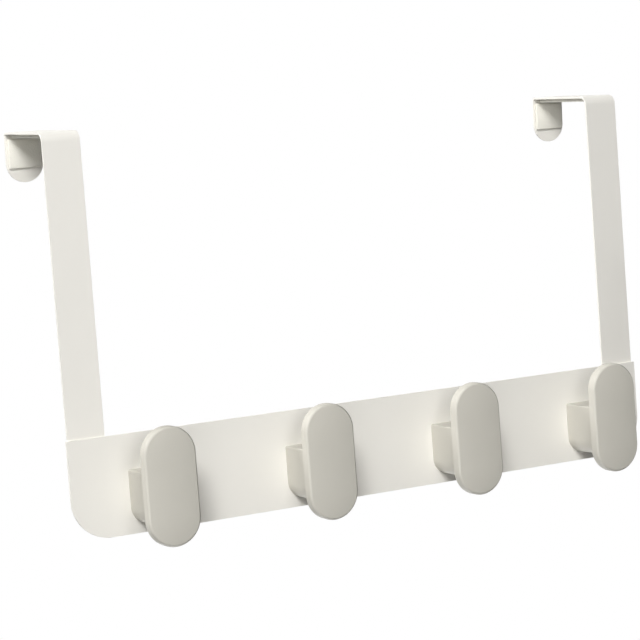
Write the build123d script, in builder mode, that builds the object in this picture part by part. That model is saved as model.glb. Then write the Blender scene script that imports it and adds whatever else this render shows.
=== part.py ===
from build123d import *

import os
from math import cos, radians, sin

# An over-door hook rack: a steel rail with four moulded hooks, carried by two straps that fold over a door.
# Millimetres. X runs along the rail, the hooks point to -Y and +Z is up.
# The origin is midway between the straps, on the front top edge of the door: the straps' legs lie against
# the door's front in the plane Y = 0, and the pads under the top plates meet that edge at Z = 0.

# Rail
rail_length = 312.0
rail_height = 45.6
rail_thickness = 1.2
rail_bottom_radius = 18.5
rail_top_radius = 0.8
rail_drop = 133.9

# Straps
strap_width = 18.0
strap_thickness = 1.0
strap_end_inset = 1.0
strap_lap = 30.0
strap_foot_radius = 3.0
weld_count = 2
weld_spacing = 14.0
weld_diameter = 5.0
weld_depth = 0.2
door_slot = 45.0
plate_angle = 2.4
front_bend_radius = 3.6
back_bend_radius = 0.8
lip_length = 22.3

# Pads
plate_pad_thickness = 1.7
plate_pad_side_margin = 2.2
plate_pad_front_gap = 3.8
plate_pad_back_gap = 2.6
lip_pad_thickness = 1.3
lip_pad_side_margin = 1.0
lip_pad_top_gap = 2.4
lip_pad_length = 13.3

# Hooks
hook_count = 4
hook_end_distance = 36.0
pill_width = 25.2
pill_height = 53.6
pill_edge_thickness = 4.6
pill_crown = 0.85
pill_crown_steps = 2
pill_flat_width = 8.4
pill_rise = 4.9
pill_rim_chamfer = 1.2
neck_width = 15.4
neck_height = 24.8
neck_length = 26.4
neck_drop = 16.4
neck_corner_radius = 0.8

# Hook screws
screws_per_hook = 2
screw_spacing = 10.0
screw_diameter = 3.5
screw_length = 13.0
screw_head_diameter = 7.5
screw_head_height = 0.9
screw_head_chamfer = 0.3
screw_hole_clearance = 0.6
pilot_clearance = 0.1
pilot_extra_depth = 1.5
recess_length = 4.0
recess_width = 0.8
recess_depth = 0.5

# Places that follow from the sizes above
rail_back = -strap_thickness
rail_front = rail_back - rail_thickness
rail_top = -rail_drop
rail_bottom = rail_top - rail_height
strap_left_edges = {
    "left": -rail_length / 2 + strap_end_inset,
    "right": rail_length / 2 - strap_end_inset - strap_width,
}
hook_pitch = (rail_length - 2 * hook_end_distance) / (hook_count - 1)
hook_places = [(number - (hook_count - 1) / 2) * hook_pitch for number in range(hook_count)]
neck_top = rail_top - neck_drop
neck_bottom = neck_top - neck_height
neck_middle = (neck_top + neck_bottom) / 2
pill_top = rail_top + pill_rise
pill_bottom = pill_top - pill_height
pill_straight = pill_height - pill_width
pill_low_centre = pill_bottom + pill_width / 2
pill_high_centre = pill_top - pill_width / 2
pill_back = rail_front - neck_length
pill_front = pill_back - pill_edge_thickness - pill_crown
screw_heights = [
    neck_middle + (number - (screws_per_hook - 1) / 2) * screw_spacing for number in range(screws_per_hook)
]
weld_heights = [
    rail_top - strap_lap / 2 + (number - (weld_count - 1) / 2) * weld_spacing for number in range(weld_count)
]

# The over-door end as seen from the side: directions along the top plate and down the lip
plate_tilt = radians(plate_angle)
along_plate = Vector(0, cos(plate_tilt), sin(plate_tilt))
down_lip = Vector(0, sin(plate_tilt), -cos(plate_tilt))
front_corner = Vector(0, 0, plate_pad_thickness / cos(plate_tilt))
back_corner = front_corner + along_plate * door_slot
lip_round = back_corner + down_lip * (lip_length - strap_width / 2)
strap_foot = Vector(0, 0, rail_top - strap_lap)

os.makedirs("parts", exist_ok=True)


def save(piece, name):
    """Labels a finished piece and writes it to its own file."""
    piece.label = name
    export_step(piece, f"parts/{name}.step")


def crown_corner(step):
    """A corner of the pill's cross-section, whose front falls back from the flat middle to the rim."""
    out = pill_flat_width / 2 + (pill_width - pill_flat_width) / 2 * step / pill_crown_steps
    fall = pill_crown * (out**2 - pill_flat_width**2 / 4) / (pill_width**2 / 4 - pill_flat_width**2 / 4)
    return out, pill_front + fall


# Rail: a flat plate with a clearance hole behind each hook screw
with BuildPart() as rail:
    with BuildSketch(Plane.XZ.offset(-rail_back)):
        with Locations((0, (rail_top + rail_bottom) / 2)):
            outline = Rectangle(rail_length, rail_height)
        fillet(outline.vertices().group_by(Axis.Y)[0], rail_bottom_radius)
        fillet(outline.vertices().group_by(Axis.Y)[-1], rail_top_radius)
        with Locations([(x, z) for x in hook_places for z in screw_heights]):
            Circle((screw_diameter + screw_hole_clearance) / 2, mode=Mode.SUBTRACT)
    extrude(amount=rail_thickness)
save(rail.part, "rail")

# Straps: one folded strip at each end of the rail, with a round-ended lip behind the door.
# Each leg is spot-welded to the back of the rail, which leaves shallow round marks on its door side.
for side, left_edge in strap_left_edges.items():
    strap_middle = Vector(left_edge + strap_width / 2, 0, 0)
    with BuildPart() as strap:
        with BuildSketch(Plane.YZ.offset(left_edge)):
            with BuildLine():
                FilletPolyline(
                    *[(point.Y, point.Z) for point in (strap_foot, front_corner, back_corner, lip_round)],
                    radius=[front_bend_radius, back_bend_radius],
                )
                offset(amount=strap_thickness, side=Side.LEFT)
            make_face()
        extrude(amount=strap_width)
        with BuildSketch(Plane(strap_middle + lip_round, x_dir=(1, 0, 0), z_dir=along_plate)):
            Circle(strap_width / 2)
        extrude(amount=strap_thickness)
        fillet(strap.edges().filter_by(Axis.Y).group_by(Axis.Z)[0], strap_foot_radius)
        with BuildSketch(Plane.XZ):
            with Locations([(strap_middle.X, z) for z in weld_heights]):
                Circle(weld_diameter / 2)
        extrude(amount=weld_depth, mode=Mode.SUBTRACT)
    save(strap.part, f"{side}_strap")

    # Pad under the top plate
    with BuildPart() as plate_pad:
        pad_length = door_slot - plate_pad_front_gap - plate_pad_back_gap
        pad_middle = strap_middle + front_corner + along_plate * (plate_pad_front_gap + pad_length / 2)
        with BuildSketch(Plane(pad_middle, x_dir=(1, 0, 0), z_dir=down_lip)):
            Rectangle(strap_width - 2 * plate_pad_side_margin, pad_length)
        extrude(amount=plate_pad_thickness)
    save(plate_pad.part, f"{side}_plate_pad")

    # Pad on the door side of the lip
    with BuildPart() as lip_pad:
        pad_middle = strap_middle + back_corner + down_lip * (lip_pad_top_gap + lip_pad_length / 2)
        with BuildSketch(Plane(pad_middle, x_dir=(1, 0, 0), z_dir=-along_plate)):
            Rectangle(strap_width - 2 * lip_pad_side_margin, lip_pad_length)
        extrude(amount=lip_pad_thickness)
    save(lip_pad.part, f"{side}_lip_pad")

# Hooks: a pill-shaped front plate on a U-section neck that is flat on top and has blind holes for the screws.
# The plate comes from half of its cross-section, which is drawn up along the straight sides and turned about the
# middle of each round end: it is domed in shallow steps, and its front rim is chamfered.
for number, hook_x in enumerate(hook_places, start=1):
    with BuildSketch(Plane.XY.offset(pill_low_centre)) as half_section:
        with Locations((hook_x, 0)):
            corners = [crown_corner(step) for step in range(pill_crown_steps + 1)]
            Polygon((0, pill_back), (0, pill_front), *corners, (pill_width / 2, pill_back), align=None)
        chamfer(half_section.vertices().group_by(Axis.X)[-1].sort_by(Axis.Y)[0], pill_rim_chamfer)
    with BuildPart() as hook:
        extrude(half_section.sketch, amount=pill_straight)
        mirror(about=Plane.YZ.offset(hook_x))
        revolve(half_section.sketch, axis=Axis((hook_x, 0, pill_low_centre), (0, 1, 0)), revolution_arc=180)
        revolve(
            half_section.sketch.moved(Location((0, 0, pill_straight))),
            axis=Axis((hook_x, 0, pill_high_centre), (0, -1, 0)),
            revolution_arc=180,
        )
        with BuildSketch(Plane.XZ.offset(-rail_front)):
            with Locations((hook_x, neck_top)):
                neck = Rectangle(neck_width, neck_height - neck_width / 2, align=(Align.CENTER, Align.MAX))
            fillet(neck.vertices().group_by(Axis.Y)[-1], neck_corner_radius)
            with Locations((hook_x, neck_bottom + neck_width / 2)):
                Circle(neck_width / 2)
        extrude(amount=neck_length)
        with BuildSketch(Plane.XZ.offset(-rail_front)):
            with Locations([(hook_x, z) for z in screw_heights]):
                Circle((screw_diameter + pilot_clearance) / 2)
        extrude(amount=screw_length - rail_thickness + pilot_extra_depth, mode=Mode.SUBTRACT)
    save(hook.part, f"hook_{number}")

# Hook screws: thin-headed, put in from behind, so that the heads stay within the straps' thickness
with BuildPart() as hook_screws:
    screw_places = [(x, z) for x in hook_places for z in screw_heights]
    with BuildSketch(Plane.XZ.offset(-rail_back)):
        with Locations(screw_places):
            Circle(screw_head_diameter / 2)
    extrude(amount=-screw_head_height)
    chamfer(hook_screws.edges().group_by(Axis.Y)[-1], screw_head_chamfer)
    with BuildSketch(Plane.XZ.offset(-rail_back)):
        with Locations(screw_places):
            Circle(screw_diameter / 2)
    extrude(amount=screw_length)
    with BuildSketch(Plane.XZ.offset(-rail_back - screw_head_height)):
        with Locations(screw_places):
            Rectangle(recess_length, recess_width)
            Rectangle(recess_width, recess_length)
    extrude(amount=recess_depth, mode=Mode.SUBTRACT)
save(hook_screws.part, "hook_screws")
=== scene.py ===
"""Over-door hook rack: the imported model, dressed with materials and lit in a plain white studio."""

from math import cos, radians, sin

import bmesh
import bpy
from mathutils import Matrix, Vector


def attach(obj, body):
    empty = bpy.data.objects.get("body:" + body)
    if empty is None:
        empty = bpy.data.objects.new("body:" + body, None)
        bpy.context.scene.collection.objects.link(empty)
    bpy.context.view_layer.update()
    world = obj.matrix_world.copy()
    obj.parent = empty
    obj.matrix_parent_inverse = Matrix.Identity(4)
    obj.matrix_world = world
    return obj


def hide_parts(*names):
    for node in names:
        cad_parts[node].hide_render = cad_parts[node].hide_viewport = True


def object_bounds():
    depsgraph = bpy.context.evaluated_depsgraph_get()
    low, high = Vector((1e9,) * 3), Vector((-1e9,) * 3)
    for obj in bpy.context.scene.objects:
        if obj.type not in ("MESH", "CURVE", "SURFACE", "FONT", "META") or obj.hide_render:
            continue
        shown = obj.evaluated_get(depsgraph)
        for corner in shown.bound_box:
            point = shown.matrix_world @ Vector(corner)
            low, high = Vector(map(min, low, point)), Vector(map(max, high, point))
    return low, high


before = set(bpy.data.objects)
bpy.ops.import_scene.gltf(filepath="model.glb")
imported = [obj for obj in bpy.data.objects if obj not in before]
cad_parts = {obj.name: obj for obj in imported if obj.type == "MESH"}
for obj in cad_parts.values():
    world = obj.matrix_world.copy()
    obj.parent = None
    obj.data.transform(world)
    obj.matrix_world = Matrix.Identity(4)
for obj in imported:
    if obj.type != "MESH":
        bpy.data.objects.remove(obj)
cad_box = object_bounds()

# Camera: metres, degrees, picture pixels, and millimetres for the sensor.
# Heading 0 looks along +Y, a positive heading turns towards +X, and a positive dip looks down.
CAMERA_PLACE = Vector((-0.49004, -0.866, -0.01262))
CAMERA_HEADING = 28.33
CAMERA_DIP = 4.71
CAMERA_ROLL = -4.28
FOCAL_PIXELS = 2095.69
PICTURE_PIXELS = 640
SENSOR_WIDTH = 36.0

# Colours, linear
PAINT = (0.83, 0.81, 0.755)
HOOK_PLASTIC = (0.56, 0.54, 0.48)
PAD_FOAM = (0.89, 0.87, 0.79)
ZINC = (0.62, 0.62, 0.63)

# The middle part of a noise, where most of its values lie
NOISE_LOW = 0.3
NOISE_HIGH = 0.7

# Edges: metres and degrees. Below the flat angle two faces are one flat, and above the sharp angle they meet
# in an edge that is seen.
FLAT_ANGLE = 0.5
SHARP_ANGLE = 35
JOIN_DISTANCE = 0.000001
SHEET_EDGE = 0.0003
PAD_EDGE = 0.0004
EDGE_SEGMENTS = 3

# The hooks' chamfered rim: how far it leans from the front in degrees, how far the Y of a rim face's normal
# may be off, and the share of a point's own normal that is added to the normals of the faces beside the rim
RIM_ANGLE = 48
RIM_SPREAD = 0.2
OWN_NORMAL_SHARE = 0.001

# Studio: metres, watts and degrees. A light's side is its turn from straight in front towards the left, and
# its height is its angle above the level of the part's middle.
FLOOR_DROP = 1.4
FLOOR_SIZE = 8.0
FLOOR_GLOW = 0.01
SKY_GLOW = 0.01
LIGHTS = {
    "key": {"side": 33, "height": 34, "distance": 3.5, "width": 1.2, "power": 91},
    "fill": {"side": 16, "height": 9, "distance": 0.8, "width": 0.25, "power": 1.27},
    "low": {"side": 40, "height": 5, "distance": 3.5, "width": 1.0, "power": 8},
    "side": {"side": 85, "height": 40, "distance": 3.5, "width": 1.47, "power": 40},
    "rim": {"side": 130, "height": 33, "distance": 3.5, "width": 1.47, "power": 78},
    "under": {"side": 48, "height": -53, "distance": 1.5, "width": 0.63, "power": 3.9},
    "behind": {"side": 180, "height": -60, "distance": 1.5, "width": 0.63, "power": 10},
}


def add_object(name, data):
    """A new object in the scene."""
    item = bpy.data.objects.new(name, data)
    bpy.context.scene.collection.objects.link(item)
    return item


def add_noise(tree, place, scale, detail):
    """Noise over the object's own coordinates, in metres."""
    noise = tree.nodes.new("ShaderNodeTexNoise")
    noise.inputs["Scale"].default_value = scale
    noise.inputs["Detail"].default_value = detail
    tree.links.new(place, noise.inputs["Vector"])
    return noise.outputs["Fac"]


def add_range(tree, source, low, high):
    """Spreads the middle of a noise over the range from low to high."""
    spread = tree.nodes.new("ShaderNodeMapRange")
    limits = {"From Min": NOISE_LOW, "From Max": NOISE_HIGH, "To Min": low, "To Max": high}
    for limit, value in limits.items():
        spread.inputs[limit].default_value = value
    tree.links.new(source, spread.inputs["Value"])
    return spread.outputs["Result"]


def add_tones(tree, source, colour, darkest, lightest):
    """A colour that runs with a noise from its darkest tone to its lightest, both given as shares of it."""
    ramp = tree.nodes.new("ShaderNodeValToRGB")
    ends = ((NOISE_LOW, darkest), (NOISE_HIGH, lightest))
    for element, (position, share) in zip(ramp.color_ramp.elements, ends):
        element.position = position
        element.color = tuple(channel * share for channel in colour) + (1,)
    tree.links.new(source, ramp.inputs["Fac"])
    return ramp.outputs["Color"]


def add_relief(tree, source, depth, normal=None):
    """Small relief of the given depth in metres, on top of another relief if there is one."""
    bump = tree.nodes.new("ShaderNodeBump")
    bump.inputs["Distance"].default_value = depth
    tree.links.new(source, bump.inputs["Height"])
    if normal is not None:
        tree.links.new(normal, bump.inputs["Normal"])
    return bump.outputs["Normal"]


def add_white(tree, glow):
    """A brightness of one to the camera and in reflections, and of the given glow to everything else."""
    path = tree.nodes.new("ShaderNodeLightPath")
    white = path.outputs["Is Camera Ray"]
    for kind in ("Is Glossy Ray", "Is Transmission Ray"):
        either = tree.nodes.new("ShaderNodeMath")
        either.operation = "MAXIMUM"
        tree.links.new(white, either.inputs[0])
        tree.links.new(path.outputs[kind], either.inputs[1])
        white = either.outputs["Value"]
    seen = tree.nodes.new("ShaderNodeMix")
    seen.inputs["A"].default_value = glow
    seen.inputs["B"].default_value = 1.0
    tree.links.new(white, seen.inputs["Factor"])
    return seen.outputs["Result"]


def start_material(name):
    """A material with a principled shader: its tree, the object's coordinates and the shader's inputs."""
    material = bpy.data.materials.new(name)
    material.use_nodes = True
    tree = material.node_tree
    place = tree.nodes.new("ShaderNodeTexCoord").outputs["Object"]
    return material, tree, place, tree.nodes["Principled BSDF"].inputs


def make_paint():
    """Satin powder coat: an even cream colour with the faint ripple and fine speckle of baked powder."""
    material, tree, place, shader = start_material("cream_powder_coat")
    slow = add_noise(tree, place, scale=22.0, detail=2.0)
    ripple = add_noise(tree, place, scale=420.0, detail=1.0)
    speckle = add_noise(tree, place, scale=2600.0, detail=2.0)
    colour = add_tones(tree, slow, PAINT, darkest=0.985, lightest=1.01)
    rippled = add_relief(tree, ripple, depth=0.00002)
    tree.links.new(colour, shader["Base Color"])
    tree.links.new(add_range(tree, ripple, low=0.42, high=0.5), shader["Roughness"])
    tree.links.new(add_relief(tree, speckle, depth=0.000008, normal=rippled), shader["Normal"])
    shader["Specular IOR Level"].default_value = 0.4
    return material


def make_hook_plastic():
    """Matte moulded plastic: fine spark-eroded grain and a slight unevenness of tone."""
    material, tree, place, shader = start_material("warm_grey_plastic")
    slow = add_noise(tree, place, scale=45.0, detail=3.0)
    grain = add_noise(tree, place, scale=1900.0, detail=3.0)
    colour = add_tones(tree, slow, HOOK_PLASTIC, darkest=0.98, lightest=1.015)
    tree.links.new(colour, shader["Base Color"])
    tree.links.new(add_range(tree, grain, low=0.5, high=0.62), shader["Roughness"])
    tree.links.new(add_relief(tree, grain, depth=0.00002), shader["Normal"])
    shader["Specular IOR Level"].default_value = 0.4
    return material


def make_foam():
    """Soft closed-cell foam: small pores and no gloss."""
    material, tree, place, shader = start_material("white_foam")
    pores = tree.nodes.new("ShaderNodeTexVoronoi")
    pores.inputs["Scale"].default_value = 1800.0
    tree.links.new(place, pores.inputs["Vector"])
    slow = add_noise(tree, place, scale=160.0, detail=3.0)
    colour = add_tones(tree, slow, PAD_FOAM, darkest=0.97, lightest=1.01)
    tree.links.new(colour, shader["Base Color"])
    tree.links.new(add_relief(tree, pores.outputs["Distance"], depth=0.00006), shader["Normal"])
    shader["Roughness"].default_value = 0.9
    shader["Specular IOR Level"].default_value = 0.2
    return material


def make_zinc():
    """Bright zinc plating with a fine mottle."""
    material, tree, place, shader = start_material("zinc_plating")
    mottle = add_noise(tree, place, scale=900.0, detail=4.0)
    colour = add_tones(tree, mottle, ZINC, darkest=0.85, lightest=1.05)
    tree.links.new(colour, shader["Base Color"])
    tree.links.new(add_range(tree, mottle, low=0.28, high=0.45), shader["Roughness"])
    tree.links.new(add_relief(tree, mottle, depth=0.00001), shader["Normal"])
    shader["Metallic"].default_value = 1.0
    return material


def start_group(name):
    """An empty group of geometry nodes, with the sockets by which a mesh enters and leaves it."""
    group = bpy.data.node_groups.new(name, "GeometryNodeTree")
    for way in ("INPUT", "OUTPUT"):
        group.interface.new_socket("Geometry", in_out=way, socket_type="NodeSocketGeometry")
    entry = group.nodes.new("NodeGroupInput").outputs[0]
    leave = group.nodes.new("NodeGroupOutput").inputs[0]
    return group, entry, leave


def add_on_domain(tree, source, domain, kind):
    """A field read on the given domain of the mesh."""
    reader = tree.nodes.new("GeometryNodeFieldOnDomain")
    reader.domain = domain
    reader.data_type = kind
    tree.links.new(source, reader.inputs["Value"])
    return reader.outputs["Value"]


def add_choice(tree, choice, if_not, if_so=None):
    """One of two vectors, of which the second is zero where it isn't given."""
    switch = tree.nodes.new("GeometryNodeSwitch")
    switch.input_type = "VECTOR"
    tree.links.new(choice, switch.inputs["Switch"])
    tree.links.new(if_not, switch.inputs["False"])
    if if_so is not None:
        tree.links.new(if_so, switch.inputs["True"])
    return switch.outputs["Output"]


def make_joiner(name):
    """Nodes that join a mesh's faces along shared edges and shade it smooth, apart from its sharp edges."""
    joiner, mesh, leave = start_group(name)
    plain = joiner.nodes.new("GeometryNodeRemoveAttribute")
    plain.inputs["Name"].default_value = "custom_normal"
    merge = joiner.nodes.new("GeometryNodeMergeByDistance")
    merge.inputs["Distance"].default_value = JOIN_DISTANCE
    smooth = joiner.nodes.new("GeometryNodeSetShadeSmooth")
    angle = joiner.nodes.new("GeometryNodeInputMeshEdgeAngle")
    sharp = joiner.nodes.new("FunctionNodeCompare")
    sharp.inputs["B"].default_value = radians(SHARP_ANGLE)
    joiner.links.new(angle.outputs["Unsigned Angle"], sharp.inputs["A"])
    crisp = joiner.nodes.new("GeometryNodeSetShadeSmooth")
    crisp.domain = "EDGE"
    crisp.inputs["Shade Smooth"].default_value = False
    joiner.links.new(sharp.outputs["Result"], crisp.inputs["Selection"])
    for step in (plain, merge, smooth, crisp):
        joiner.links.new(mesh, step.inputs[0])
        mesh = step.outputs[0]
    joiner.links.new(mesh, leave)
    return joiner


def make_rounder(name):
    """Nodes that shade a hook's chamfered rim as a round one, from the normals of the faces beside it."""
    rounder, entry, leave = start_group(name)
    normal = rounder.nodes.new("GeometryNodeInputNormal")
    direction = rounder.nodes.new("ShaderNodeSeparateXYZ")
    rounder.links.new(normal.outputs["True Normal"], direction.inputs["Vector"])
    slanted = rounder.nodes.new("FunctionNodeCompare")
    slanted.operation = "EQUAL"
    slanted.inputs["B"].default_value = -cos(radians(RIM_ANGLE))
    slanted.inputs["Epsilon"].default_value = RIM_SPREAD
    rounder.links.new(direction.outputs["Y"], slanted.inputs["A"])
    on_rim = add_on_domain(rounder, slanted.outputs["Result"], "FACE", "BOOLEAN")
    beside = add_choice(rounder, on_rim, if_not=normal.outputs["True Normal"])
    by_face = add_on_domain(rounder, beside, "FACE", "FLOAT_VECTOR")
    by_point = add_on_domain(rounder, by_face, "POINT", "FLOAT_VECTOR")
    blend = rounder.nodes.new("ShaderNodeVectorMath")
    blend.operation = "MULTIPLY_ADD"
    blend.inputs[1].default_value = 3 * (OWN_NORMAL_SHARE,)
    rounder.links.new(normal.outputs["Normal"], blend.inputs[0])
    rounder.links.new(by_point, blend.inputs[2])
    unit = rounder.nodes.new("ShaderNodeVectorMath")
    unit.operation = "NORMALIZE"
    rounder.links.new(blend.outputs["Vector"], unit.inputs[0])
    rounded = add_choice(rounder, on_rim, if_not=normal.outputs["Normal"], if_so=unit.outputs["Vector"])
    free = rounder.nodes.new("GeometryNodeSetMeshNormal")
    free.mode = "FREE"
    free.domain = "CORNER"
    rounder.links.new(entry, free.inputs["Mesh"])
    rounder.links.new(rounded, free.inputs["Custom Normal"])
    rounder.links.new(free.outputs["Mesh"], leave)
    return rounder


def dress(node, material):
    """Gives a CAD node its material."""
    node.data.materials.clear()
    node.data.materials.append(material)


def add_group(node, group):
    """Runs a group of geometry nodes on a CAD node as a modifier; the node's own mesh stays as it is."""
    node.modifiers.new(group.name, "NODES").node_group = group


def soften_edges(node):
    """Rounds the edges of a sheet-metal node with modifiers; its own mesh stays as it is."""
    flats = node.modifiers.new("whole_flats", "DECIMATE")
    flats.decimate_type = "DISSOLVE"
    flats.angle_limit = radians(FLAT_ANGLE)
    bevel = node.modifiers.new("soft_edges", "BEVEL")
    bevel.width = SHEET_EDGE
    bevel.segments = EDGE_SEGMENTS
    bevel.limit_method = "ANGLE"
    bevel.angle_limit = radians(SHARP_ANGLE)
    bevel.harden_normals = True


def make_pad(node, material):
    """A foam pad in its CAD block's place, with rounded edges."""
    mesh = bpy.data.meshes.new(f"{node.name}_foam")
    form = bmesh.new()
    form.from_mesh(node.data)
    bmesh.ops.remove_doubles(form, verts=form.verts, dist=JOIN_DISTANCE)
    bmesh.ops.dissolve_limit(form, angle_limit=radians(FLAT_ANGLE), verts=form.verts, edges=form.edges)
    bmesh.ops.bevel(
        form, geom=form.edges[:], offset=PAD_EDGE, segments=EDGE_SEGMENTS, profile=0.5, affect="EDGES"
    )
    form.to_mesh(mesh)
    form.free()
    mesh.shade_smooth()
    mesh.materials.append(material)
    pad = add_object(mesh.name, mesh)
    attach(pad, "root")
    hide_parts(node.name)


# Materials on the CAD nodes, and foam in place of the plain pad blocks
paint = make_paint()
hook_plastic = make_hook_plastic()
foam = make_foam()
zinc = make_zinc()
joiner = make_joiner("joined_faces")
rounder = make_rounder("round_rims")
for name, node in list(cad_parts.items()):
    if name.endswith("_pad"):
        make_pad(node, foam)
    elif name == "hook_screws":
        dress(node, zinc)
    elif name.startswith("hook_"):
        dress(node, hook_plastic)
        add_group(node, joiner)
        add_group(node, rounder)
    else:
        dress(node, paint)
        add_group(node, joiner)
        soften_edges(node)

# Floor and sky: plain white to the camera and in reflections, with a faint glow as light on the part
floor_mesh = bpy.data.meshes.new("floor")
floor_form = bmesh.new()
bmesh.ops.create_grid(floor_form, x_segments=1, y_segments=1, size=FLOOR_SIZE / 2)
floor_form.to_mesh(floor_mesh)
floor_form.free()
floor = add_object("floor", floor_mesh)
floor.location.z = cad_box[0][2] - FLOOR_DROP
backdrop = bpy.data.materials.new("white_floor")
backdrop.use_nodes = True
tree = backdrop.node_tree
glow = tree.nodes.new("ShaderNodeEmission")
tree.links.new(add_white(tree, FLOOR_GLOW), glow.inputs["Strength"])
tree.links.new(glow.outputs["Emission"], tree.nodes["Material Output"].inputs["Surface"])
floor_mesh.materials.append(backdrop)

world = bpy.data.worlds.new("studio")
world.use_nodes = True
bpy.context.scene.world = world
tree = world.node_tree
sky = tree.nodes["Background"].inputs
sky["Color"].default_value = (1, 1, 1, 1)
tree.links.new(add_white(tree, SKY_GLOW), sky["Strength"])

# Lights: round soft boxes that face the middle of the part
box_middle = (Vector(cad_box[0]) + Vector(cad_box[1])) / 2
for name, place in LIGHTS.items():
    side = radians(place["side"])
    height = radians(place["height"])
    towards_light = Vector((-sin(side) * cos(height), -cos(side) * cos(height), sin(height)))
    lamp_data = bpy.data.lights.new(name, "AREA")
    lamp_data.shape = "DISK"
    lamp_data.size = place["width"]
    lamp_data.energy = place["power"]
    lamp = add_object(name, lamp_data)
    lamp.location = box_middle + towards_light * place["distance"]
    lamp.rotation_euler = towards_light.to_track_quat("Z", "Y").to_euler()

# Camera
heading = radians(CAMERA_HEADING)
dip = radians(CAMERA_DIP)
roll = radians(CAMERA_ROLL)
forward = Vector((sin(heading) * cos(dip), cos(heading) * cos(dip), -sin(dip)))
level_right = Vector((cos(heading), -sin(heading), 0))
level_down = forward.cross(level_right)
picture_right = cos(roll) * level_right - sin(roll) * level_down
picture_down = sin(roll) * level_right + cos(roll) * level_down
camera_turn = Matrix((picture_right, -picture_down, -forward)).transposed()
camera_data = bpy.data.cameras.new("camera")
camera_data.sensor_width = SENSOR_WIDTH
camera_data.lens = SENSOR_WIDTH * FOCAL_PIXELS / PICTURE_PIXELS
camera = add_object("camera", camera_data)
camera.matrix_world = Matrix.Translation(CAMERA_PLACE) @ camera_turn.to_4x4()
bpy.context.scene.camera = camera
bpy.context.scene.view_settings.view_transform = "Standard"
